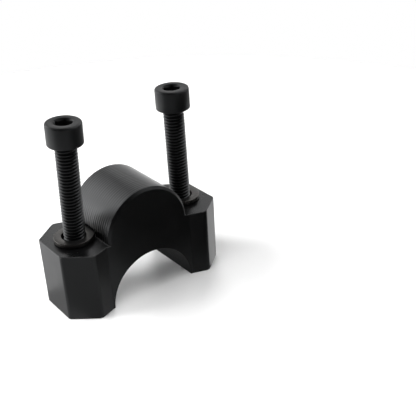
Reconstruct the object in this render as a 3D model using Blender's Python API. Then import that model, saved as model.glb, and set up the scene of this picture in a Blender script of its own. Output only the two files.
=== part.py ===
"""Motorcycle bar riser: a machined block, two long cap screws and their washers.

The block lifts a handlebar out of its clamp. In use it is the other way up: the dome lies in the
clamp's half shell, the arch takes the bar, and the screws hold both to the fork's yoke. Here it
stands on its pads with the dome up, and the screws stand loosely in their holes.

Metres, +Z up. X runs from bolt to bolt, Y runs along the handlebar, and z = 0 is the underside
of the pads, midway between the bolts.
"""

import math

import bmesh
import bpy
from mathutils import Vector

# Bar seat: the dome's axis lies in the plane of the pads' tops, and the arch is eased round a bar
# of the dome's radius
DOME_RADIUS = 0.0172
ARCH_EASE = 0.0004
FRONT_CHAMFER = 0.00095
BACK_CHAMFER = 0.0003
WEB_HALF_WIDTH = 0.0136
DOME_ROOT = 0.0030

# Pads, seen from above: an eight-sided outline round each bolt
PAD_HEIGHT = 0.0267
PAD_PAST_WEB = 0.0024
END_HALF_WIDTH = 0.0084
BOLT_PAST_DOME = 0.0070
END_PAST_BOLT = 0.0102
CORNER_PAST_BOLT = 0.0006
WEB_PAST_DOME = 0.0012
END_CORNER_RADIUS = 0.0018
SIDE_CORNER_RADIUS = 0.0022
WEB_CORNER_RADIUS = 0.0008
EDGE_BREAK = 0.0003

# Cap screws, M8 by 65
SCREW_DIAMETER = 0.0080
SCREW_LENGTH = 0.0650
THREAD_PITCH = 0.00125
HEAD_DIAMETER = 0.0130
HEAD_HEIGHT = 0.0080
HEAD_ROUNDING = 0.0008
HEAD_UNDERCUT = 0.00015
SOCKET_ACROSS_FLATS = 0.0060
SOCKET_DEPTH = 0.0040
SOCKET_LEAD_IN = 0.0002
NECK_LENGTH = 0.0006
NECK_RELIEF = 0.0004
TIP_TAPER = 0.00033
TIP_LENGTH = 0.00035
RUN_OUT_TURNS = 0.5
RUN_OUT_GAP = 0.00025
# Depth of an outside metric thread as a share of its pitch
THREAD_DEPTH_SHARE = 0.6134

# Plain washers
WASHER_RING_WIDTH = 0.0029
WASHER_THICKNESS = 0.0016
WASHER_EDGE = 0.0002

# Clearances between the pieces
HOLE_CLEARANCE = 0.0016
WASHER_HOLE_CLEARANCE = 0.0012
SEAT_GAP = 0.0003
LEAN_GAP = 0.00022
SPOT_FACE_ROOM = 0.00055

# How each screw leans in its hole: the share of the slack that it takes up, and the way it leans
LEFT_LEAN_SHARE = 1.0
LEFT_LEAN_TOWARDS = math.radians(-60)
RIGHT_LEAN_SHARE = 0.25
RIGHT_LEAN_TOWARDS = math.radians(175)

# Facets
DOME_STEPS = 44
CORNER_STEPS = 4
HOLE_STEPS = 36
THREAD_STEPS = 18
HEAD_STEPS = 36
ROUNDING_STEPS = 3
OVERCUT = 0.0050
SHARP_FROM = math.radians(32)
BREAK_FROM = math.radians(60)

# Sizes that follow from the ones above
ARCH_RADIUS = DOME_RADIUS + ARCH_EASE
PAD_HALF_WIDTH = WEB_HALF_WIDTH + PAD_PAST_WEB
HOLE_DIAMETER = SCREW_DIAMETER + HOLE_CLEARANCE
WASHER_HOLE_DIAMETER = SCREW_DIAMETER + WASHER_HOLE_CLEARANCE
WASHER_DIAMETER = WASHER_HOLE_DIAMETER + 2 * WASHER_RING_WIDTH
SPOT_FACE_RADIUS = WASHER_DIAMETER / 2 + SPOT_FACE_ROOM
BOLT_X = DOME_RADIUS + BOLT_PAST_DOME
HALF_LENGTH = BOLT_X + END_PAST_BOLT
THREAD_DEPTH = THREAD_DEPTH_SHARE * THREAD_PITCH
ROOT_RADIUS = SCREW_DIAMETER / 2 - THREAD_DEPTH
NECK_RADIUS = SCREW_DIAMETER / 2 - NECK_RELIEF
TIP_RADIUS = ROOT_RADIUS - TIP_TAPER
WASHER_BASE = PAD_HEIGHT + SEAT_GAP


def clear_scene():
    for old in list(bpy.data.objects):
        bpy.data.objects.remove(old, do_unlink=True)


def make_material(name, colour, roughness, metallic):
    """A Principled material of one colour."""
    material = bpy.data.materials.new(name)
    material.use_nodes = True
    shader = material.node_tree.nodes["Principled BSDF"]
    shader.inputs["Base Color"].default_value = (*colour, 1.0)
    shader.inputs["Roughness"].default_value = roughness
    shader.inputs["Metallic"].default_value = metallic
    return material


def make_object(name, mesh_builder, material=None):
    """Turn a bmesh into a named object whose faces point outwards."""
    bmesh.ops.recalc_face_normals(mesh_builder, faces=mesh_builder.faces[:])
    mesh = bpy.data.meshes.new(name)
    mesh_builder.to_mesh(mesh)
    mesh_builder.free()
    if material:
        mesh.materials.append(material)
    made = bpy.data.objects.new(name, mesh)
    bpy.context.collection.objects.link(made)
    return made


def hide_cutter(cutter):
    cutter.hide_render = True
    cutter.display_type = "WIRE"


def cut(target, cutter, operation):
    """Combine the target with a hidden cutter."""
    hide_cutter(cutter)
    step = target.modifiers.new(cutter.name, "BOOLEAN")
    step.operation = operation
    step.object = cutter
    step.solver = "EXACT"


def rounded_corner(before, corner, after, radius, steps):
    """Points of the arc that replaces a corner of an outline."""
    into = (before - corner).normalized()
    out = (after - corner).normalized()
    half_angle = into.angle(out) / 2
    tangent_length = radius / math.tan(half_angle)
    centre = corner + (into + out).normalized() * (radius / math.sin(half_angle))
    start = corner + into * tangent_length - centre
    end = corner + out * tangent_length - centre
    sweep = start.angle_signed(end)
    points = []
    for step in range(steps + 1):
        angle = -sweep * step / steps
        turned = Vector((
            start.x * math.cos(angle) - start.y * math.sin(angle),
            start.x * math.sin(angle) + start.y * math.cos(angle),
        ))
        points.append(centre + turned)
    return points


def plan_outline():
    """The block seen from above: two eight-sided pads joined by the narrower web."""
    corner_x = BOLT_X + CORNER_PAST_BOLT
    web_x = DOME_RADIUS + WEB_PAST_DOME
    half = [
        (web_x, -WEB_HALF_WIDTH, WEB_CORNER_RADIUS),
        (corner_x, -PAD_HALF_WIDTH, SIDE_CORNER_RADIUS),
        (HALF_LENGTH, -END_HALF_WIDTH, END_CORNER_RADIUS),
        (HALF_LENGTH, END_HALF_WIDTH, END_CORNER_RADIUS),
        (corner_x, PAD_HALF_WIDTH, SIDE_CORNER_RADIUS),
        (web_x, WEB_HALF_WIDTH, WEB_CORNER_RADIUS),
    ]
    corners = half + [(-x, -y, radius) for x, y, radius in half]
    outline = []
    for index, (x, y, radius) in enumerate(corners):
        before = Vector(corners[index - 1][:2])
        after = Vector(corners[(index + 1) % len(corners)][:2])
        outline += rounded_corner(before, Vector((x, y)), after, radius, CORNER_STEPS)
    return outline


def plan_cutter():
    """The outline from above as a tall prism."""
    shape = bmesh.new()
    top = PAD_HEIGHT + DOME_RADIUS + OVERCUT
    outline = plan_outline()
    lower = [shape.verts.new((point.x, point.y, -OVERCUT)) for point in outline]
    upper = [shape.verts.new((point.x, point.y, top)) for point in outline]
    shape.faces.new(lower)
    shape.faces.new(upper)
    for index in range(len(outline)):
        after = (index + 1) % len(outline)
        shape.faces.new((lower[index], lower[after], upper[after], upper[index]))
    return make_object("plan_cutter", shape)


def half_circle(shape, radius, y, height):
    """Points of a half circle across the block, from its foot at +X over the top to the one at -X."""
    points = []
    for step in range(DOME_STEPS + 1):
        angle = math.pi * step / DOME_STEPS
        up = height + radius * math.sin(angle)
        points.append(shape.verts.new((radius * math.cos(angle), y, up)))
    return points


def strip(shape, first, second):
    """Faces between two rows of equal length."""
    for index in range(len(first) - 1):
        shape.faces.new((first[index], first[index + 1], second[index + 1], second[index]))


def pad_blank():
    """A bar as high as the pads, drawn out along Y, with the arch cut from its underside."""
    shape = bmesh.new()
    reach_x = HALF_LENGTH + OVERCUT
    rows = []
    for y in (-PAD_HALF_WIDTH - OVERCUT, PAD_HALF_WIDTH + OVERCUT):
        row = [shape.verts.new((reach_x, y, PAD_HEIGHT)), shape.verts.new((reach_x, y, 0.0))]
        row += half_circle(shape, ARCH_RADIUS, y, 0.0)
        row += [shape.verts.new((-reach_x, y, 0.0)), shape.verts.new((-reach_x, y, PAD_HEIGHT))]
        shape.faces.new(row)
        rows.append(row)
    close_rows(shape, rows[0], rows[1])
    return shape


def dome_blank():
    """The dome, sloped at 45 degrees to both faces of the web and rooted in the pads' bar."""
    shape = bmesh.new()
    reach_y = PAD_HALF_WIDTH + 2 * OVERCUT
    sections = [(-reach_y, DOME_RADIUS - 2 * FRONT_CHAMFER)]
    sections.append((-WEB_HALF_WIDTH - FRONT_CHAMFER, DOME_RADIUS - 2 * FRONT_CHAMFER))
    sections.append((-WEB_HALF_WIDTH + FRONT_CHAMFER, DOME_RADIUS))
    sections.append((WEB_HALF_WIDTH - BACK_CHAMFER, DOME_RADIUS))
    sections.append((WEB_HALF_WIDTH + BACK_CHAMFER, DOME_RADIUS - 2 * BACK_CHAMFER))
    sections.append((reach_y, DOME_RADIUS - 2 * BACK_CHAMFER))
    rows = []
    for y, radius in sections:
        root = PAD_HEIGHT - DOME_ROOT
        row = [shape.verts.new((radius, y, root))]
        row += half_circle(shape, radius, y, PAD_HEIGHT)
        row.append(shape.verts.new((-radius, y, root)))
        rows.append(row)
    for first, second in zip(rows, rows[1:]):
        close_rows(shape, first, second)
    shape.faces.new(rows[0])
    shape.faces.new(rows[-1])
    return shape


def upright_cylinders(name, radius, bottom, top):
    """A cylinder round each bolt's axis."""
    shape = bmesh.new()
    for x in (-BOLT_X, BOLT_X):
        rings = []
        for z in (bottom, top):
            ring = turned_ring(shape, radius, z, HOLE_STEPS)
            for point in ring:
                point.co.x += x
            shape.faces.new(ring)
            rings.append(ring)
        close_rows(shape, rings[0], rings[1])
    return make_object(name, shape)


def close_rows(shape, first, second):
    """Faces between two closed rings of equal length."""
    strip(shape, first + first[:1], second + second[:1])


def make_block(material):
    """The riser block, with its edges broken. The dome is spot-faced to make room for the washers."""
    top = PAD_HEIGHT + DOME_RADIUS + OVERCUT
    block = make_object("riser_block", pad_blank(), material)
    dome = make_object("dome", dome_blank())
    cut(dome, upright_cylinders("spot_face_cutter", SPOT_FACE_RADIUS, 0.0, top), "DIFFERENCE")
    cut(block, dome, "UNION")
    cut(block, plan_cutter(), "INTERSECT")
    holes = upright_cylinders("hole_cutter", HOLE_DIAMETER / 2, -OVERCUT, PAD_HEIGHT + OVERCUT)
    cut(block, holes, "DIFFERENCE")
    break_edges = block.modifiers.new("broken_edges", "BEVEL")
    break_edges.width = EDGE_BREAK
    break_edges.segments = 1
    break_edges.limit_method = "ANGLE"
    break_edges.angle_limit = BREAK_FROM
    break_edges.use_clamp_overlap = False
    block.data.shade_smooth()
    block.data.set_sharp_from_angle(angle=SHARP_FROM)
    return block


def turned_ring(shape, radius, height, steps):
    ring = []
    for step in range(steps):
        angle = 2 * math.pi * step / steps
        ring.append(shape.verts.new((radius * math.cos(angle), radius * math.sin(angle), height)))
    return ring


def socket_ring(shape, height):
    """A ring of the hexagon socket, with as many points as the head's other rings."""
    ring = []
    for step in range(HEAD_STEPS):
        angle = 2 * math.pi * step / HEAD_STEPS
        from_flat = (angle + math.pi / 6) % (math.pi / 3) - math.pi / 6
        radius = SOCKET_ACROSS_FLATS / 2 / math.cos(from_flat)
        # The hexagon's corners point along X and its flats along Y
        turned = angle + math.pi / 6
        ring.append(shape.verts.new((radius * math.cos(turned), radius * math.sin(turned), height)))
    return ring


def thread_point(shape, radius, column, height):
    angle = 2 * math.pi * column / THREAD_STEPS
    return shape.verts.new((radius * math.cos(angle), radius * math.sin(angle), height))


def make_thread(shape):
    """The helical thread from the tip up to the neck. Returns the ring at the neck's foot."""
    neck_foot = SCREW_LENGTH - NECK_LENGTH
    rise = THREAD_PITCH / THREAD_STEPS
    columns = int((neck_foot - RUN_OUT_GAP - THREAD_PITCH - TIP_LENGTH) / rise)
    roots = []
    for column in range(columns + THREAD_STEPS + 1):
        roots.append(thread_point(shape, ROOT_RADIUS, column, TIP_LENGTH + rise * column))
    crests = []
    for column in range(columns + 1):
        from_end = min(column, columns - column) + 1
        depth = THREAD_DEPTH * min(1.0, from_end / THREAD_STEPS / RUN_OUT_TURNS)
        height = TIP_LENGTH + rise * column + THREAD_PITCH / 2
        crests.append(thread_point(shape, ROOT_RADIUS + depth, column, height))
    strip(shape, roots[:columns + 1], crests)
    strip(shape, crests, roots[THREAD_STEPS:])
    tip = turned_ring(shape, TIP_RADIUS, 0.0, THREAD_STEPS)
    shape.faces.new(tip)
    neck = turned_ring(shape, NECK_RADIUS, neck_foot, THREAD_STEPS)
    stop = columns % THREAD_STEPS
    turned_neck = neck[stop:] + neck[:stop + 1]
    strip(shape, tip + tip[:1], roots[:THREAD_STEPS + 1])
    strip(shape, roots[columns:], turned_neck)
    # The two flat ends of the ridge, where it starts and where it stops
    shape.faces.new((tip[0], roots[0], crests[0], roots[THREAD_STEPS]))
    shape.faces.new((roots[columns], crests[columns], roots[-1], turned_neck[0]))
    return neck


def head_profile():
    """Radius and height of the head's turned rows, from its seat up to the socket's mouth."""
    radius = HEAD_DIAMETER / 2
    top = SCREW_LENGTH + HEAD_HEIGHT
    rows = [
        (radius - HEAD_UNDERCUT, SCREW_LENGTH),
        (radius, SCREW_LENGTH + HEAD_UNDERCUT),
    ]
    for step in range(ROUNDING_STEPS + 1):
        angle = math.pi / 2 * step / ROUNDING_STEPS
        across = radius - HEAD_ROUNDING * (1 - math.cos(angle))
        up = top - HEAD_ROUNDING * (1 - math.sin(angle))
        rows.append((across, up))
    mouth = SOCKET_ACROSS_FLATS / math.sqrt(3) + SOCKET_LEAD_IN
    rows.append((mouth, top))
    return rows


def make_head(shape, neck):
    """The turned head and its hexagon socket, joined to the neck."""
    seat = turned_ring(shape, SCREW_DIAMETER / 2, SCREW_LENGTH, THREAD_STEPS)
    close_rows(shape, neck, seat)
    rings = [turned_ring(shape, radius, height, HEAD_STEPS) for radius, height in head_profile()]
    for first, second in zip(rings, rings[1:]):
        close_rows(shape, first, second)
    share = HEAD_STEPS // THREAD_STEPS
    outer = rings[0] + rings[0][:1]
    for step in range(THREAD_STEPS):
        near = seat[step]
        far = seat[(step + 1) % THREAD_STEPS]
        shape.faces.new([far, near] + outer[step * share:(step + 1) * share + 1])
    top = SCREW_LENGTH + HEAD_HEIGHT
    mouth = socket_ring(shape, top - SOCKET_LEAD_IN)
    floor = socket_ring(shape, top - SOCKET_DEPTH)
    # The hexagon's points start a twelfth of a turn round, so the turned ring starts there too
    shift = HEAD_STEPS // 12
    close_rows(shape, rings[-1][shift:] + rings[-1][:shift], mouth)
    close_rows(shape, mouth, floor)
    shape.faces.new(floor)


def make_screw(name, x, lean_share, lean_towards, material):
    """A cap screw that stands on its tip in the hole at x and leans against the hole's edges."""
    shape = bmesh.new()
    make_head(shape, make_thread(shape))
    screw = make_object(name, shape, material)
    screw.data.shade_smooth()
    screw.data.set_sharp_from_angle(angle=SHARP_FROM)
    slack = lean_slack() * lean_share
    across = Vector((math.cos(lean_towards), math.sin(lean_towards), 0.0)) * slack
    direction = across * 2 + Vector((0.0, 0.0, PAD_HEIGHT))
    tilt = math.atan2(2 * slack, PAD_HEIGHT)
    lift = TIP_RADIUS * math.sin(tilt)
    screw.rotation_mode = "QUATERNION"
    screw.rotation_quaternion = Vector((0.0, 0.0, 1.0)).rotation_difference(direction)
    screw.location = Vector((x, 0.0, lift)) - across
    return screw


def lean_slack():
    """How far a screw's axis can stand from its hole's axis, at the floor and at the pad's top."""
    return (HOLE_DIAMETER - SCREW_DIAMETER) / 2 - LEAN_GAP


def washer_profile():
    """Radius and height of the washer's rows, all the way round its section."""
    outer = WASHER_DIAMETER / 2
    inner = WASHER_HOLE_DIAMETER / 2
    return [
        (inner, WASHER_EDGE),
        (inner + WASHER_EDGE, 0.0),
        (outer - WASHER_EDGE, 0.0),
        (outer, WASHER_EDGE),
        (outer, WASHER_THICKNESS - WASHER_EDGE),
        (outer - WASHER_EDGE, WASHER_THICKNESS),
        (inner + WASHER_EDGE, WASHER_THICKNESS),
        (inner, WASHER_THICKNESS - WASHER_EDGE),
    ]


def make_washer(name, x, lean_share, lean_towards, material):
    """A plain washer on its pad, pushed over by the screw where the screw leans far enough."""
    shape = bmesh.new()
    rings = [turned_ring(shape, radius, height, HOLE_STEPS) for radius, height in washer_profile()]
    for first, second in zip(rings, rings[1:] + rings[:1]):
        close_rows(shape, first, second)
    washer = make_object(name, shape, material)
    washer.data.shade_smooth()
    washer.data.set_sharp_from_angle(angle=SHARP_FROM)
    top = WASHER_BASE + WASHER_THICKNESS
    screw_offset = lean_slack() * lean_share * (2 * top / PAD_HEIGHT - 1)
    room = (WASHER_HOLE_DIAMETER - SCREW_DIAMETER) / 2 - LEAN_GAP
    push = max(0.0, screw_offset - room)
    shift = Vector((math.cos(lean_towards), math.sin(lean_towards), 0.0)) * push
    washer.location = Vector((x, 0.0, WASHER_BASE)) + shift
    return washer


def main():
    clear_scene()
    anodised = make_material("black_anodised", (0.020, 0.020, 0.022), 0.40, 0.6)
    black_steel = make_material("black_oxide_steel", (0.045, 0.045, 0.047), 0.45, 0.6)
    washer_steel = make_material("black_washer_steel", (0.050, 0.050, 0.052), 0.35, 0.7)
    make_block(anodised)
    for side, x, share, towards in (
        ("left", -BOLT_X, LEFT_LEAN_SHARE, LEFT_LEAN_TOWARDS),
        ("right", BOLT_X, RIGHT_LEAN_SHARE, RIGHT_LEAN_TOWARDS),
    ):
        make_screw(side + "_bolt", x, share, towards, black_steel)
        make_washer(side + "_washer", x, share, towards, washer_steel)


main()
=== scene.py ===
import math

import bmesh
import bpy
from mathutils import Matrix, Vector


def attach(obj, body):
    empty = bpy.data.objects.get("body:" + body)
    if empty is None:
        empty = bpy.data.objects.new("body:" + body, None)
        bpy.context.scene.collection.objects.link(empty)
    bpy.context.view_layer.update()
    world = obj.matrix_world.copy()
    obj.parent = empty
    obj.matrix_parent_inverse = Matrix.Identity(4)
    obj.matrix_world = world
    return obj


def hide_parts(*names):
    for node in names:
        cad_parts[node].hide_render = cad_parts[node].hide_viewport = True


# Looks of a motorcycle bar riser: one machined block, two cap screws and two washers.
# Metres, +Z up. X runs from bolt to bolt, Y along the handlebar, and z = 0 is the pads' underside.

# Block
DOME_RADIUS = 0.0172
ARCH_RADIUS = 0.0176
PAD_HEIGHT = 0.0267
FRONT_CHAMFER = 0.00095
BACK_CHAMFER = 0.0003
WEB_HALF_WIDTH = 0.0136
PAD_HALF_WIDTH = 0.0160
END_HALF_WIDTH = 0.0084
HALF_LENGTH = 0.0344
BOLT_X = 0.0242
CORNER_X = 0.0248
WEB_X = 0.0184
END_CORNER_RADIUS = 0.0018
SIDE_CORNER_RADIUS = 0.0023
WEB_CORNER_RADIUS = 0.0008
EDGE_BREAK = 0.0003
HOLE_RADIUS = 0.0048
SPOT_FACE_RADIUS = 0.00805
SPOT_FACE_HEIGHT = 0.0024

# Machining lines round the dome, made uneven by a noise with this many cells to a line
LINE_SPACING = 0.00125
LINE_HEIGHT = 0.00012
LINE_NOISE_CELLS = 0.8
LINE_NOISE_DETAIL = 2.0
# Two ramps over Z, added up, say how high the lines are: each has its start, its end, and the share
# of the full height at both. The lines fade halfway up the dome.
LINE_RAMPS = [(0.0330, 0.0370, 1.8, 0.12), (0.0380, 0.0410, 0.0, 0.42)]

# Cap screws
SCREW_RADIUS = 0.0040
SCREW_LENGTH = 0.0650
THREAD_PITCH = 0.00125
# A metric thread is this share of its pitch deep
THREAD_DEPTH = 0.6134 * THREAD_PITCH
ROOT_RADIUS = SCREW_RADIUS - THREAD_DEPTH
# The thread grows over this share of a turn at both ends, and stops this far below the neck
THREAD_FADE = 0.5
THREAD_END_GAP = 0.00025
TIP_CHAMFER = 0.00033
TIP_RADIUS = ROOT_RADIUS - TIP_CHAMFER
TIP_LENGTH = 0.00035
NECK_RADIUS = 0.0036
NECK_LENGTH = 0.0006
# Radius, and height below the seat, of the fillet between neck and head
NECK_FILLET = [(NECK_RADIUS, 0.0004), (0.00368, 0.0002), (0.0038, 0.00006), (0.0041, 0.0)]
HEAD_RADIUS = 0.0065
HEAD_HEIGHT = 0.0080
HEAD_TOP = SCREW_LENGTH + HEAD_HEIGHT
HEAD_ROUNDING = 0.0008
HEAD_UNDERCUT = 0.00015
UNDERCUT_BREAK = 0.00006
UNDERCUT_END = 0.00008
SOCKET_ACROSS_FLATS = 0.0060
SOCKET_DEPTH = 0.0040
SOCKET_TURN = math.radians(54)
# The socket's lead-in is a cone, with a broken edge at its mouth
LEAD_IN = 0.00015
LEAD_IN_SLOPE = 1.4
MOUTH_RADIUS = SOCKET_ACROSS_FLATS / math.sqrt(3) + LEAD_IN
MOUTH_BREAK = 0.0001
MOUTH_DROP = 0.00004
# The socket's floor is drilled
DRILL_RADIUS = 0.0026
DRILL_SHOULDER = 0.0001
DRILL_DEPTH = 0.0010
# How far a leaning screw's axis is off the hole's: one way at its tip, the other at the pad's top
LEAN_SLACK = 0.00058

# Washers, which clear the pads by as little as in the CAD model
WASHER_INNER = 0.0046
WASHER_OUTER = 0.0075
WASHER_BASE = 0.0270
WASHER_THICKNESS = 0.0016
WASHER_EDGE = 0.0002
WASHER_BREAK = 0.00008
WASHER_PUSH = 0.00028

# Places of the finishes on the block, and on the screws, whose first finish is the head's
FLATS, DOME, EDGES, PAD_TOPS = range(4)
CREST, VALLEY = 1, 2

# Lines of the thread's ridge: share of the pitch and share of the depth
THREAD_SECTION = [
    (0.10, 0.03), (0.25, 0.508), (0.395, 0.97), (0.42, 1.0),
    (0.58, 1.0), (0.605, 0.97), (0.75, 0.508), (0.90, 0.03),
]
# Finishes of the strips between those lines, from the root below to the root above
# The valley finish is darker and reflects less than the crest's: painted shade in the thread's
# roots
THREAD_PAINTS = [VALLEY, VALLEY, CREST, CREST, CREST, CREST, CREST, VALLEY, VALLEY]

# Fineness
DOME_STEPS = 144
ROUND_STEPS = 96
THREAD_STEPS = 48
CORNER_STEPS = 8
HEAD_EDGE_STEPS = 8
WASHER_EDGE_STEPS = 5
BREAK_SEGMENTS = 3
# How far the cutters reach past what they cut, and the dome into the pads
OVERCUT = 0.0050
HOLE_OVERCUT = OVERCUT / 5
DOME_ROOT = 0.0030
# Edges that are broken, and edges that are shaded sharp, from these angles on
BREAK_ANGLE = math.radians(60)
BLOCK_SHARP = math.radians(18)
SCREW_SHARP = math.radians(28)
WASHER_SHARP = math.radians(40)
# How near counts as on a surface
NEAR = 0.0001
# Faces by their normals: the greatest Y on the dome's round, and the least Z of a level face and of
# a broken edge that gets the painted highlight, a lighter grey standing in for light falling from
# above
ROUND_Y = 0.01
LEVEL_Z = 0.999
LIT_EDGE_Z = 0.25

# Black layers: dark and light grey of the anodised one, and size and height of each grain
ANODISED_DARK = (0.0012, 0.0012, 0.0013)
ANODISED_LIGHT = (0.0022, 0.0022, 0.0023)
ANODISED_GRAIN = (0.00025, 0.000002)
HEAD_GRAIN = (0.00020, 0.000004)
THREAD_GRAIN = (0.00020, 0.000002)
WASHER_GRAIN = (0.00030, 0.000002)
# Faint colours of their reflections: cold on the block and the screws, warm on the washers
ANODISED_TINT = (0.95, 0.975, 1.0)
OXIDE_TINT = (0.94, 0.97, 1.0)
WASHER_TINT = (1.0, 0.94, 0.88)
# Their patches: scale, detail, and the middle range of the noise, which is spread out
PATCH_SCALE = 90.0
PATCH_DETAIL = 3.0
GRAIN_DETAIL = 2.0
NOISE_ROUGHNESS = 0.6
NOISE_LOW = 0.3
NOISE_HIGH = 0.7

# Camera, at the photograph's place
CAMERA_PLACE = (-0.13054, -0.22926, 0.16874)
CAMERA_HEADING = 0.6323
CAMERA_PITCH = 0.4897
CAMERA_ROLL = -0.052
CAMERA_LENS = 67.42
CAMERA_SENSOR = 36.0
CAMERA_NEAR = 0.01
CAMERA_FAR = 50.0

# Studio: soft panels round the object, each with its azimuth, elevation, width, height and glow.
# Gloss panels show in reflections alone.
LIT_HEIGHT = 0.03
LIGHT_DISTANCE = 0.9
GLOSS_PANELS = [
    (0.0, 10.0, 0.42, 0.30, 0.95),
    (90.0, 10.0, 0.42, 0.30, 2.50),
    (135.0, 10.0, 0.42, 0.30, 1.60),
    (270.0, 10.0, 0.42, 0.30, 5.50),
    (292.0, 10.0, 0.42, 0.30, 1.95),
    (315.0, 10.0, 0.42, 0.30, 1.30),
    (20.0, 22.0, 0.42, 0.30, 1.20),
    (292.0, 22.0, 0.42, 0.30, 0.90),
    (315.0, 22.0, 0.42, 0.30, 0.45),
    (340.0, 22.0, 0.42, 0.30, 0.80),
    (45.0, 28.0, 0.30, 0.30, 4.50),
    (0.0, 35.0, 0.50, 0.50, 0.64),
    (292.0, 35.0, 0.50, 0.50, 1.50),
    (315.0, 35.0, 0.50, 0.50, 1.18),
    (60.0, 62.0, 0.50, 0.50, 3.40),
]
# Matte panels light the floor, and what little of their light the black finish scatters.
MATTE_PANELS = [
    (0.0, 10.0, 0.42, 0.30, 35.1),
    (270.0, 35.0, 0.50, 0.50, 11.6),
    (240.0, 62.0, 0.50, 0.50, 4.56),
    (60.0, 62.0, 0.50, 0.50, 4.24),
    (180.0, 62.0, 0.50, 0.50, 4.16),
    (120.0, 62.0, 0.50, 0.50, 0.40),
]
FLOOR_RADIUS = 0.29
FLOOR_DROP = 0.00002
FLOOR_WHITE = (0.85, 0.85, 0.85, 1.0)
FLOOR_ROUGHNESS = 0.8
# The floor as reflections show it: fields from one corner to the other, each with its glow.
# It is bright behind the block and on its left, dim in front, and shaded under the arch.
MIRROR_DROP = 0.0001
MIRROR_REACH = 0.6
MIRRORED_FLOOR = [
    (-MIRROR_REACH, -MIRROR_REACH, 0.0, -0.030, 0.48),
    (-MIRROR_REACH, -0.030, 0.0, -0.014, 0.37),
    (-MIRROR_REACH, -0.014, -0.018, 0.014, 0.68),
    (-MIRROR_REACH, 0.014, 0.0, 0.040, 1.35),
    (-MIRROR_REACH, 0.040, 0.0, MIRROR_REACH, 1.50),
    (-0.018, -0.014, 0.018, 0.014, 0.10),
    (0.0, -0.030, MIRROR_REACH, -0.014, 0.19),
    (0.018, -0.014, MIRROR_REACH, 0.014, 1.40),
    (0.0, 0.014, MIRROR_REACH, 0.090, 0.42),
    (0.0, 0.090, MIRROR_REACH, MIRROR_REACH, 2.40),
]


def make_object(name, shape):
    """Turn a bmesh into a named object whose faces point outwards."""
    bmesh.ops.recalc_face_normals(shape, faces=shape.faces[:])
    mesh = bpy.data.meshes.new(name)
    shape.to_mesh(mesh)
    shape.free()
    made = bpy.data.objects.new(name, mesh)
    bpy.context.collection.objects.link(made)
    return made


def strip(shape, first, second, paint=0):
    """Join two lines of equally many points by a strip of faces. Paint is their finish's place."""
    for index in range(len(first) - 1):
        face = shape.faces.new((first[index], first[index + 1], second[index + 1], second[index]))
        face.material_index = paint


def close_rows(shape, first, second):
    """Join two closed rows of points by a band of faces."""
    strip(shape, first + first[:1], second + second[:1])


def ring(shape, radius, height, steps):
    points = []
    for step in range(steps):
        angle = 2 * math.pi * step / steps
        points.append(shape.verts.new((radius * math.cos(angle), radius * math.sin(angle), height)))
    return points


def bake_modifiers(target):
    """Replace the object's mesh by the one that its modifiers give."""
    bpy.context.view_layer.update()
    seen = target.evaluated_get(bpy.context.evaluated_depsgraph_get())
    mesh = bpy.data.meshes.new_from_object(seen)
    target.modifiers.clear()
    target.data = mesh


def rounded_corner(before, corner, after, radius):
    """Points of the arc that replaces a corner of an outline."""
    into = (before - corner).normalized()
    out = (after - corner).normalized()
    half_angle = into.angle(out) / 2
    tangent_length = radius / math.tan(half_angle)
    centre = corner + (into + out).normalized() * (radius / math.sin(half_angle))
    start = corner + into * tangent_length - centre
    end = corner + out * tangent_length - centre
    sweep = start.angle_signed(end)
    points = []
    for step in range(CORNER_STEPS + 1):
        points.append(centre + Matrix.Rotation(-sweep * step / CORNER_STEPS, 2) @ start)
    return points


def plan_outline():
    """The block seen from above: two eight-sided pads joined by the narrower web."""
    half = [
        (WEB_X, -WEB_HALF_WIDTH, WEB_CORNER_RADIUS),
        (CORNER_X, -PAD_HALF_WIDTH, SIDE_CORNER_RADIUS),
        (HALF_LENGTH, -END_HALF_WIDTH, END_CORNER_RADIUS),
        (HALF_LENGTH, END_HALF_WIDTH, END_CORNER_RADIUS),
        (CORNER_X, PAD_HALF_WIDTH, SIDE_CORNER_RADIUS),
        (WEB_X, WEB_HALF_WIDTH, WEB_CORNER_RADIUS),
    ]
    corners = half + [(-x, -y, radius) for x, y, radius in half]
    outline = []
    for index, (x, y, radius) in enumerate(corners):
        before = Vector(corners[index - 1][:2])
        after = Vector(corners[(index + 1) % len(corners)][:2])
        outline += rounded_corner(before, Vector((x, y)), after, radius)
    return outline


def plan_cutter():
    shape = bmesh.new()
    outline = plan_outline()
    top = PAD_HEIGHT + DOME_RADIUS + OVERCUT
    lower = [shape.verts.new((point.x, point.y, -OVERCUT)) for point in outline]
    upper = [shape.verts.new((point.x, point.y, top)) for point in outline]
    shape.faces.new(lower)
    shape.faces.new(upper)
    close_rows(shape, lower, upper)
    return make_object("plan_cutter", shape)


def turned_cutters(name, profile):
    """A turned shape round each bolt's axis, closed at both ends."""
    shape = bmesh.new()
    for x in (-BOLT_X, BOLT_X):
        rows = [ring(shape, radius, height, ROUND_STEPS) for radius, height in profile]
        for first, second in zip(rows, rows[1:]):
            close_rows(shape, first, second)
        shape.faces.new(rows[0])
        shape.faces.new(rows[-1])
        for row in rows:
            for point in row:
                point.co.x += x
    return make_object(name, shape)


def hole_cutters():
    """Both through holes, with the small countersinks that break their edges."""
    wide = HOLE_RADIUS + EDGE_BREAK + HOLE_OVERCUT
    return turned_cutters("hole_cutters", [
        (wide, -HOLE_OVERCUT),
        (HOLE_RADIUS, EDGE_BREAK),
        (HOLE_RADIUS, PAD_HEIGHT - EDGE_BREAK),
        (wide, PAD_HEIGHT + HOLE_OVERCUT),
    ])


def spot_face_cutters():
    """The room that is milled out of the dome's foot for the washers."""
    top = PAD_HEIGHT + SPOT_FACE_HEIGHT
    return turned_cutters("spot_face_cutters", [(SPOT_FACE_RADIUS, 0.0), (SPOT_FACE_RADIUS, top)])


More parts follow.
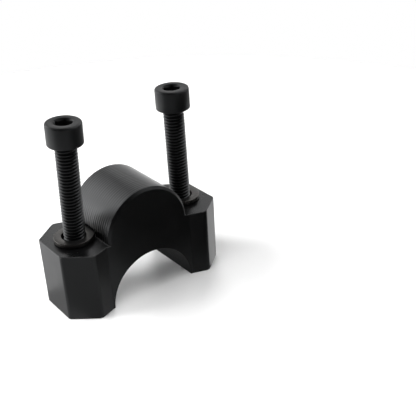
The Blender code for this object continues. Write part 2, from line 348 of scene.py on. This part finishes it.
def half_circle(shape, radius, y, height):
    """Points of a half circle over a centre at that height, from its +X end to its -X end."""
    points = []
    for step in range(DOME_STEPS + 1):
        angle = math.pi * step / DOME_STEPS
        up = height + radius * math.sin(angle)
        points.append(shape.verts.new((radius * math.cos(angle), y, up)))
    return points


def pad_blank():
    """A bar as high as the pads, drawn out along Y, with the arch cut from its underside."""
    shape = bmesh.new()
    reach_x = HALF_LENGTH + OVERCUT
    rows = []
    for y in (-PAD_HALF_WIDTH - OVERCUT, PAD_HALF_WIDTH + OVERCUT):
        row = [shape.verts.new((reach_x, y, PAD_HEIGHT)), shape.verts.new((reach_x, y, 0.0))]
        row += half_circle(shape, ARCH_RADIUS, y, 0.0)
        row += [shape.verts.new((-reach_x, y, 0.0)), shape.verts.new((-reach_x, y, PAD_HEIGHT))]
        shape.faces.new(row)
        rows.append(row)
    close_rows(shape, rows[0], rows[1])
    return make_object("block", shape)


def dome_blank():
    """The dome, sloped to both faces of the web and rooted in the pads' bar."""
    shape = bmesh.new()
    reach_y = PAD_HALF_WIDTH + 2 * OVERCUT
    sections = [
        (-reach_y, DOME_RADIUS - 2 * FRONT_CHAMFER),
        (-WEB_HALF_WIDTH - FRONT_CHAMFER, DOME_RADIUS - 2 * FRONT_CHAMFER),
        (-WEB_HALF_WIDTH + FRONT_CHAMFER, DOME_RADIUS),
        (WEB_HALF_WIDTH - BACK_CHAMFER, DOME_RADIUS),
        (WEB_HALF_WIDTH + BACK_CHAMFER, DOME_RADIUS - 2 * BACK_CHAMFER),
        (reach_y, DOME_RADIUS - 2 * BACK_CHAMFER),
    ]
    root = PAD_HEIGHT - DOME_ROOT
    rows = []
    for y, radius in sections:
        row = [shape.verts.new((radius, y, root))]
        row += half_circle(shape, radius, y, PAD_HEIGHT)
        row.append(shape.verts.new((-radius, y, root)))
        rows.append(row)
    for first, second in zip(rows, rows[1:]):
        close_rows(shape, first, second)
    shape.faces.new(rows[0])
    shape.faces.new(rows[-1])
    return make_object("dome", shape)


def cut(target, cutter, operation):
    step = target.modifiers.new(cutter.name, "BOOLEAN")
    step.operation = operation
    step.object = cutter
    step.solver = "EXACT"


def on_dome(face):
    off_axis = math.hypot(face.center.x, face.center.z - PAD_HEIGHT)
    near = abs(off_axis - DOME_RADIUS) < NEAR and abs(face.normal.y) < ROUND_Y
    return near and face.center.z > PAD_HEIGHT


def block_finish(face):
    """Which finish a face of the block takes. The bevel has already marked the broken edges."""
    if face.normal.z > LEVEL_Z and face.center.z < PAD_HEIGHT + NEAR:
        return PAD_TOPS
    # Broken edges that face upwards keep the lighter edge finish, a painted highlight; the others
    # go back to the flats' finish
    if face.material_index == EDGES:
        return FLATS if face.normal.z < LIT_EDGE_Z else EDGES
    return DOME if on_dome(face) else FLATS


def break_edges(block):
    edges = block.modifiers.new("broken_edges", "BEVEL")
    edges.width = EDGE_BREAK
    edges.segments = BREAK_SEGMENTS
    edges.limit_method = "ANGLE"
    edges.angle_limit = BREAK_ANGLE
    edges.use_clamp_overlap = False
    edges.material = EDGES
    bake_modifiers(block)


def make_block(materials):
    """The block, with rounded edge breaks, and flats that keep flat shading."""
    block = pad_blank()
    for material in materials:
        block.data.materials.append(material)
    dome = dome_blank()
    spot_faces = spot_face_cutters()
    cut(dome, spot_faces, "DIFFERENCE")
    bake_modifiers(dome)
    outline_cutter = plan_cutter()
    cut(block, dome, "UNION")
    cut(block, outline_cutter, "INTERSECT")
    bake_modifiers(block)
    break_edges(block)
    holes = hole_cutters()
    cut(block, holes, "DIFFERENCE")
    bake_modifiers(block)
    for cutter in (dome, spot_faces, outline_cutter, holes):
        bpy.data.objects.remove(cutter, do_unlink=True)
    for face in block.data.polygons:
        face.material_index = block_finish(face)
    block.data.shade_smooth()
    block.data.set_sharp_from_angle(angle=BLOCK_SHARP)
    even = block.modifiers.new("even_normals", "WEIGHTED_NORMAL")
    even.keep_sharp = True
    bake_modifiers(block)
    return block


def thread_row(shape, columns, height_share, depth_share):
    """One line of the ridge's section, wound up the screw. It sinks to the root at both ends."""
    points = []
    for column in range(columns + 1):
        from_end = min(column, columns - column) + 1
        grown = min(1.0, from_end / THREAD_STEPS / THREAD_FADE)
        radius = ROOT_RADIUS + THREAD_DEPTH * depth_share * grown
        angle = 2 * math.pi * column / THREAD_STEPS
        height = TIP_LENGTH + THREAD_PITCH * (column / THREAD_STEPS + height_share)
        points.append(shape.verts.new((radius * math.cos(angle), radius * math.sin(angle), height)))
    return points


def make_thread(shape):
    """The helical thread from the tip up to the neck. Returns the ring at the neck's foot."""
    neck_foot = SCREW_LENGTH - NECK_LENGTH
    rise = THREAD_PITCH / THREAD_STEPS
    columns = int((neck_foot - THREAD_END_GAP - THREAD_PITCH - TIP_LENGTH) / rise)
    roots = []
    for column in range(columns + THREAD_STEPS + 1):
        angle = 2 * math.pi * column / THREAD_STEPS
        height = TIP_LENGTH + rise * column
        across = ROOT_RADIUS * math.cos(angle)
        along = ROOT_RADIUS * math.sin(angle)
        roots.append(shape.verts.new((across, along, height)))
    ridge = [roots[:columns + 1]]
    ridge += [thread_row(shape, columns, up, out) for up, out in THREAD_SECTION]
    ridge.append(roots[THREAD_STEPS:])
    for lower, upper, paint in zip(ridge, ridge[1:], THREAD_PAINTS):
        strip(shape, lower, upper, paint)
    tip = ring(shape, TIP_RADIUS, 0.0, THREAD_STEPS)
    shape.faces.new(tip)
    neck = ring(shape, NECK_RADIUS, neck_foot, THREAD_STEPS)
    stop = columns % THREAD_STEPS
    turned_neck = neck[stop:] + neck[:stop + 1]
    strip(shape, tip + tip[:1], roots[:THREAD_STEPS + 1])
    strip(shape, roots[columns:], turned_neck)
    shape.faces.new([tip[0]] + [row[0] for row in ridge])
    shape.faces.new([row[-1] for row in ridge] + [turned_neck[0]])
    return neck


def head_profile():
    """Radius and height of the head's turned rows, from its seat up to the socket's mouth."""
    rows = [
        (HEAD_RADIUS - HEAD_UNDERCUT, SCREW_LENGTH),
        (HEAD_RADIUS - UNDERCUT_BREAK, SCREW_LENGTH + HEAD_UNDERCUT - UNDERCUT_BREAK),
        (HEAD_RADIUS, SCREW_LENGTH + HEAD_UNDERCUT + UNDERCUT_END),
    ]
    for step in range(HEAD_EDGE_STEPS + 1):
        angle = math.pi / 2 * step / HEAD_EDGE_STEPS
        across = HEAD_RADIUS - HEAD_ROUNDING * (1 - math.cos(angle))
        rows.append((across, HEAD_TOP - HEAD_ROUNDING * (1 - math.sin(angle))))
    rows.append((MOUTH_RADIUS + MOUTH_BREAK, HEAD_TOP))
    rows.append((MOUTH_RADIUS, HEAD_TOP - MOUTH_DROP))
    return rows


def hexagon_radius(angle):
    """Distance from the axis to the socket's wall."""
    from_middle_of_flat = (angle - SOCKET_TURN) % (math.pi / 3) - math.pi / 6
    return SOCKET_ACROSS_FLATS / 2 / math.cos(from_middle_of_flat)


def make_head(shape, neck):
    """The turned head and its hexagon socket with a drilled floor, joined to the neck."""
    fillet = [neck]
    for radius, below in NECK_FILLET:
        fillet.append(ring(shape, radius, SCREW_LENGTH - below, THREAD_STEPS))
    for first, second in zip(fillet, fillet[1:]):
        close_rows(shape, first, second)
    rows = [ring(shape, radius, height, ROUND_STEPS) for radius, height in head_profile()]
    # The seat goes from the fillet's coarser ring to the head's finer one
    share = ROUND_STEPS // THREAD_STEPS
    seat = fillet[-1]
    outer = rows[0] + rows[0][:1]
    for step in range(THREAD_STEPS):
        far = seat[(step + 1) % THREAD_STEPS]
        shape.faces.new([far, seat[step]] + outer[step * share:(step + 1) * share + 1])
    for first, second in zip(rows, rows[1:]):
        close_rows(shape, first, second)
    lip = []
    floor = []
    floor_height = HEAD_TOP - SOCKET_DEPTH
    for step in range(ROUND_STEPS):
        angle = 2 * math.pi * step / ROUND_STEPS
        radius = hexagon_radius(angle)
        across = radius * math.cos(angle)
        along = radius * math.sin(angle)
        # The lead-in reaches deepest at the middle of each flat
        lip_height = HEAD_TOP - MOUTH_DROP - (MOUTH_RADIUS - radius) * LEAD_IN_SLOPE
        lip.append(shape.verts.new((across, along, lip_height)))
        floor.append(shape.verts.new((across, along, floor_height)))
    close_rows(shape, rows[-1], lip)
    close_rows(shape, lip, floor)
    drilled = ring(shape, DRILL_RADIUS, floor_height - DRILL_SHOULDER, ROUND_STEPS)
    close_rows(shape, floor, drilled)
    centre = shape.verts.new((0.0, 0.0, floor_height - DRILL_DEPTH))
    for step in range(ROUND_STEPS):
        shape.faces.new((drilled[step], drilled[(step + 1) % ROUND_STEPS], centre))


def make_screw(name, x, lean_share, lean_towards, materials):
    """A cap screw that stands on its tip in the hole at x and leans against the hole's edges."""
    shape = bmesh.new()
    neck = make_thread(shape)
    # The tip and the neck are as glossy as the crest
    for face in shape.faces:
        face.material_index = max(face.material_index, CREST)
    make_head(shape, neck)
    slack = LEAN_SLACK * lean_share
    across = Vector((math.cos(lean_towards), math.sin(lean_towards), 0.0)) * slack
    direction = across * 2 + Vector((0.0, 0.0, PAD_HEIGHT))
    lift = TIP_RADIUS * math.sin(math.atan2(2 * slack, PAD_HEIGHT))
    turn = Vector((0.0, 0.0, 1.0)).rotation_difference(direction).to_matrix().to_4x4()
    place = Matrix.Translation(Vector((x, 0.0, lift)) - across) @ turn
    bmesh.ops.transform(shape, matrix=place, verts=shape.verts[:])
    screw = make_object(name, shape)
    for material in materials:
        screw.data.materials.append(material)
    screw.data.shade_smooth()
    screw.data.set_sharp_from_angle(angle=SCREW_SHARP)
    return screw


def washer_profile():
    """Radius and height of the washer's rows: rounded on top, as punched, and sharper below."""
    rows = [(WASHER_INNER, WASHER_BREAK), (WASHER_INNER + WASHER_BREAK, 0.0)]
    rows += [(WASHER_OUTER - WASHER_BREAK, 0.0), (WASHER_OUTER, WASHER_BREAK)]
    for step in range(WASHER_EDGE_STEPS + 1):
        angle = math.pi / 2 * step / WASHER_EDGE_STEPS
        across = WASHER_OUTER - WASHER_EDGE * (1 - math.cos(angle))
        rows.append((across, WASHER_THICKNESS - WASHER_EDGE * (1 - math.sin(angle))))
    for step in range(WASHER_EDGE_STEPS + 1):
        angle = math.pi / 2 * (1 - step / WASHER_EDGE_STEPS)
        across = WASHER_INNER + WASHER_EDGE * (1 - math.cos(angle))
        rows.append((across, WASHER_THICKNESS - WASHER_EDGE * (1 - math.sin(angle))))
    return rows


def make_washer(name, x, push, towards, material):
    """A washer round the bolt at x, pushed aside on its pad."""
    shape = bmesh.new()
    rows = [ring(shape, radius, height, ROUND_STEPS) for radius, height in washer_profile()]
    for first, second in zip(rows, rows[1:] + rows[:1]):
        close_rows(shape, first, second)
    for point in shape.verts:
        point.co += Vector((x + push * math.cos(towards), push * math.sin(towards), WASHER_BASE))
    washer = make_object(name, shape)
    washer.data.materials.append(material)
    washer.data.shade_smooth()
    washer.data.set_sharp_from_angle(angle=WASHER_SHARP)
    return washer


def node(tree, kind, **sockets):
    """Add a node and set its sockets by name, with _ for a space."""
    made = tree.nodes.new(kind)
    for name, value in sockets.items():
        made.inputs[name.replace("_", " ")].default_value = value
    return made


def combine(tree, operation, first, second):
    """Add or multiply two numbers: the operation is ADD or MULTIPLY."""
    made = node(tree, "ShaderNodeMath")
    made.operation = operation
    tree.links.new(first, made.inputs[0])
    tree.links.new(second, made.inputs[1])
    return made.outputs[0]


def ramp(tree, source, start, end, low, high):
    """Go from low to high while the source goes from start to end."""
    made = node(
        tree, "ShaderNodeMapRange", From_Min=start, From_Max=end, To_Min=low, To_Max=high)
    tree.links.new(source, made.inputs["Value"])
    return made.outputs["Result"]


def noise(tree, place, scale, detail):
    made = node(
        tree, "ShaderNodeTexNoise", Scale=scale, Detail=detail, Roughness=NOISE_ROUGHNESS)
    tree.links.new(place, made.inputs["Vector"])
    return made.outputs["Fac"]


def spread(tree, source, low, high):
    """Turn a noise's middle range into the range from low to high."""
    return ramp(tree, source, NOISE_LOW, NOISE_HIGH, low, high)


def bump(tree, height, distance, under=None):
    """A normal that is raised by height times distance, over the normal under it."""
    made = node(tree, "ShaderNodeBump", Distance=distance, Strength=1.0)
    tree.links.new(height, made.inputs["Height"])
    if under:
        tree.links.new(under, made.inputs["Normal"])
    return made.outputs["Normal"]


def black_finish(name, dark, light, roughness, grain, specular, tint):
    """A black layer on metal: faint patches in colour and gloss over a fine grain."""
    material = bpy.data.materials.new(name)
    material.use_nodes = True
    tree = material.node_tree
    shader = tree.nodes["Principled BSDF"]
    place = node(tree, "ShaderNodeTexCoord").outputs["Object"]
    patches = noise(tree, place, PATCH_SCALE, PATCH_DETAIL)
    grain_size, grain_height = grain
    grains = noise(tree, place, 1.0 / grain_size, GRAIN_DETAIL)
    colour = node(tree, "ShaderNodeMix")
    colour.data_type = "RGBA"
    colour.inputs["A"].default_value = (*dark, 1.0)
    colour.inputs["B"].default_value = (*light, 1.0)
    tree.links.new(spread(tree, patches, 0.0, 1.0), colour.inputs["Factor"])
    tree.links.new(colour.outputs["Result"], shader.inputs["Base Color"])
    tree.links.new(spread(tree, patches, *roughness), shader.inputs["Roughness"])
    tree.links.new(bump(tree, grains, grain_height), shader.inputs["Normal"])
    shader.inputs["Specular IOR Level"].default_value = specular
    shader.inputs["Specular Tint"].default_value = (*tint, 1.0)
    return material


def add_machining_lines(material):
    """Fine ridges that the cutter leaves round the dome, a step apart along Y."""
    tree = material.node_tree
    shader = tree.nodes["Principled BSDF"]
    place = node(tree, "ShaderNodeTexCoord").outputs["Object"]
    parts = node(tree, "ShaderNodeSeparateXYZ")
    tree.links.new(place, parts.inputs[0])
    # At a scale of 1 the wave repeats every tenth of pi
    wave = node(tree, "ShaderNodeTexWave", Scale=math.pi / 10 / LINE_SPACING, Distortion=0.0)
    wave.bands_direction = "Y"
    tree.links.new(place, wave.inputs["Vector"])
    uneven = node(tree, "ShaderNodeTexNoise", Detail=LINE_NOISE_DETAIL)
    uneven.inputs["Scale"].default_value = LINE_NOISE_CELLS / LINE_SPACING
    uneven.noise_dimensions = "1D"
    tree.links.new(parts.outputs["Y"], uneven.inputs["W"])
    ridges = combine(tree, "MULTIPLY", wave.outputs["Fac"], uneven.outputs["Fac"])
    shares = [ramp(tree, parts.outputs["Z"], *row) for row in LINE_RAMPS]
    worn = combine(tree, "MULTIPLY", ridges, combine(tree, "ADD", *shares))
    under = shader.inputs["Normal"].links[0].from_socket
    tree.links.new(bump(tree, worn, LINE_HEIGHT, under), shader.inputs["Normal"])


def make_camera():
    right = Vector((math.cos(CAMERA_HEADING), -math.sin(CAMERA_HEADING), 0.0))
    forward = Vector((
        math.sin(CAMERA_HEADING) * math.cos(CAMERA_PITCH),
        math.cos(CAMERA_HEADING) * math.cos(CAMERA_PITCH),
        -math.sin(CAMERA_PITCH),
    ))
    up = right.cross(forward)
    rolled_right = right * math.cos(CAMERA_ROLL) + up * math.sin(CAMERA_ROLL)
    rolled_up = up * math.cos(CAMERA_ROLL) - right * math.sin(CAMERA_ROLL)
    data = bpy.data.cameras.new("camera")
    data.lens = CAMERA_LENS
    data.sensor_width = CAMERA_SENSOR
    data.clip_start = CAMERA_NEAR
    data.clip_end = CAMERA_FAR
    camera = bpy.data.objects.new("camera", data)
    bpy.context.collection.objects.link(camera)
    axes = Matrix((rolled_right, rolled_up, -forward)).transposed().to_4x4()
    camera.matrix_world = Matrix.Translation(CAMERA_PLACE) @ axes
    bpy.context.scene.camera = camera


def floor_finish():
    material = bpy.data.materials.new("floor_white")
    material.use_nodes = True
    shader = material.node_tree.nodes["Principled BSDF"]
    shader.inputs["Base Color"].default_value = FLOOR_WHITE
    shader.inputs["Roughness"].default_value = FLOOR_ROUGHNESS
    shader.inputs["Specular IOR Level"].default_value = 0.0
    return material


def make_floor():
    """A white disc. It stays out of reflections, where the mirrored floor takes its place."""
    shape = bmesh.new()
    shape.faces.new(ring(shape, FLOOR_RADIUS, -FLOOR_DROP, ROUND_STEPS))
    floor = make_object("floor", shape)
    floor.data.materials.append(floor_finish())
    floor.visible_glossy = False
    floor.visible_shadow = False


def area_light(name, width, height, glow):
    """A rectangle that shines down its own Z. Its glow is the brightness that it would show."""
    data = bpy.data.lights.new(name, "AREA")
    data.shape = "RECTANGLE"
    data.size = width
    data.size_y = height
    data.energy = math.pi * width * height * glow
    light = bpy.data.objects.new(name, data)
    light.visible_camera = False
    bpy.context.collection.objects.link(light)
    return light


def panel(name, azimuth, elevation, width, height, glow):
    """A soft panel that faces the object.

    Azimuth 0 is behind the object as the camera sees it, and 90 on its right.
    """
    turned = CAMERA_HEADING + math.radians(azimuth)
    raised = math.radians(elevation)
    away = Vector((
        math.sin(turned) * math.cos(raised),
        math.cos(turned) * math.cos(raised),
        math.sin(raised),
    ))
    light = area_light(name, width, height, glow)
    light.location = Vector((0.0, 0.0, LIT_HEIGHT)) + away * LIGHT_DISTANCE
    light.rotation_euler = away.to_track_quat("Z", "Y").to_euler()
    return light


def make_lights():
    for row in GLOSS_PANELS:
        panel("gloss_panel", *row).visible_diffuse = False
    for row in MATTE_PANELS:
        panel("matte_panel", *row).visible_glossy = False
    for x0, y0, x1, y1, glow in MIRRORED_FLOOR:
        field = area_light("mirrored_floor", x1 - x0, y1 - y0, glow)
        field.location = ((x0 + x1) / 2, (y0 + y1) / 2, -MIRROR_DROP)
        field.rotation_euler = (math.pi, 0.0, 0.0)
        field.visible_diffuse = False


def make_world():
    """A white background that lights nothing."""
    world = bpy.data.worlds.new("studio")
    world.use_nodes = True
    sky = world.node_tree.nodes["Background"]
    sky.inputs["Color"].default_value = (1.0, 1.0, 1.0, 1.0)
    sky.inputs["Strength"].default_value = 1.0
    bpy.context.scene.world = world
    world.cycles_visibility.diffuse = False
    world.cycles_visibility.glossy = False


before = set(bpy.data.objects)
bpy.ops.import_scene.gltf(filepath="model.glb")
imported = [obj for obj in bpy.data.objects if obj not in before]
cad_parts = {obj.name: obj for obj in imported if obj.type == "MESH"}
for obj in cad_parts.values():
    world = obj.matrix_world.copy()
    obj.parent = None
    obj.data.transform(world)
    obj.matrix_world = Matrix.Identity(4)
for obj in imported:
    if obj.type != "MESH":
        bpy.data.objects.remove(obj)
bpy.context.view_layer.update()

anodised = black_finish(
    "anodised_black", dark=ANODISED_DARK, light=ANODISED_LIGHT, roughness=(0.37, 0.41),
    grain=ANODISED_GRAIN, specular=0.50, tint=ANODISED_TINT)
dome_finish = black_finish(
    "anodised_black_dome", dark=ANODISED_DARK, light=ANODISED_LIGHT, roughness=(0.35, 0.39),
    grain=ANODISED_GRAIN, specular=0.50, tint=ANODISED_TINT)
add_machining_lines(dome_finish)
top_finish = black_finish(
    "anodised_black_pad_top", dark=ANODISED_DARK, light=ANODISED_LIGHT, roughness=(0.26, 0.30),
    grain=ANODISED_GRAIN, specular=0.48, tint=ANODISED_TINT)
# Much lighter grey than the flats, used only on the upward broken edges: a painted highlight
edge_highlight_finish = black_finish(
    "anodised_black_edge_highlight", dark=(0.010,) * 3, light=(0.030,) * 3, roughness=(0.28, 0.34),
    grain=ANODISED_GRAIN, specular=0.50, tint=ANODISED_TINT)
oxide = black_finish(
    "black_oxide", dark=(0.0015, 0.0015, 0.0016), light=(0.0030, 0.0030, 0.0031),
    roughness=(0.43, 0.49), grain=HEAD_GRAIN, specular=0.40, tint=OXIDE_TINT)
thread_finish = black_finish(
    "black_oxide_thread", dark=(0.0012,) * 3, light=(0.0022,) * 3, roughness=(0.30, 0.36),
    grain=THREAD_GRAIN, specular=0.62, tint=OXIDE_TINT)
# Darker grey and a weaker reflection than the crest: painted shade in the thread's roots
valley_shade_finish = black_finish(
    "black_oxide_valley_shade", dark=(0.0008,) * 3, light=(0.0014,) * 3, roughness=(0.50, 0.56),
    grain=THREAD_GRAIN, specular=0.24, tint=OXIDE_TINT)
washer_finish = black_finish(
    "black_washer", dark=(0.0020,) * 3, light=(0.0050,) * 3, roughness=(0.24, 0.32),
    grain=WASHER_GRAIN, specular=0.68, tint=WASHER_TINT)

# In the order of FLATS, DOME, EDGES and PAD_TOPS
block_finishes = [anodised, dome_finish, edge_highlight_finish, top_finish]
# The head's, then CREST and VALLEY
screw_finishes = [oxide, thread_finish, valley_shade_finish]

block = make_block(block_finishes)
block.name = "block_surface"
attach(block, "root")
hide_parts("riser_block")
# Each side's lean as a share of the slack, the direction of the lean and of the washer's push, and
# the length of the push
for side, x, share, towards, push in (
    ("left", -BOLT_X, 1.0, math.radians(-60), WASHER_PUSH),
    ("right", BOLT_X, 0.25, math.radians(175), 0.0),
):
    screw = make_screw(side + "_screw_surface", x, share, towards, screw_finishes)
    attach(screw, "root")
    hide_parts(side + "_bolt")
    washer = make_washer(side + "_washer_surface", x, push, towards, washer_finish)
    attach(washer, "root")
    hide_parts(side + "_washer")

make_camera()
make_floor()
make_world()
make_lights()
bpy.context.scene.view_settings.view_transform = "Standard"
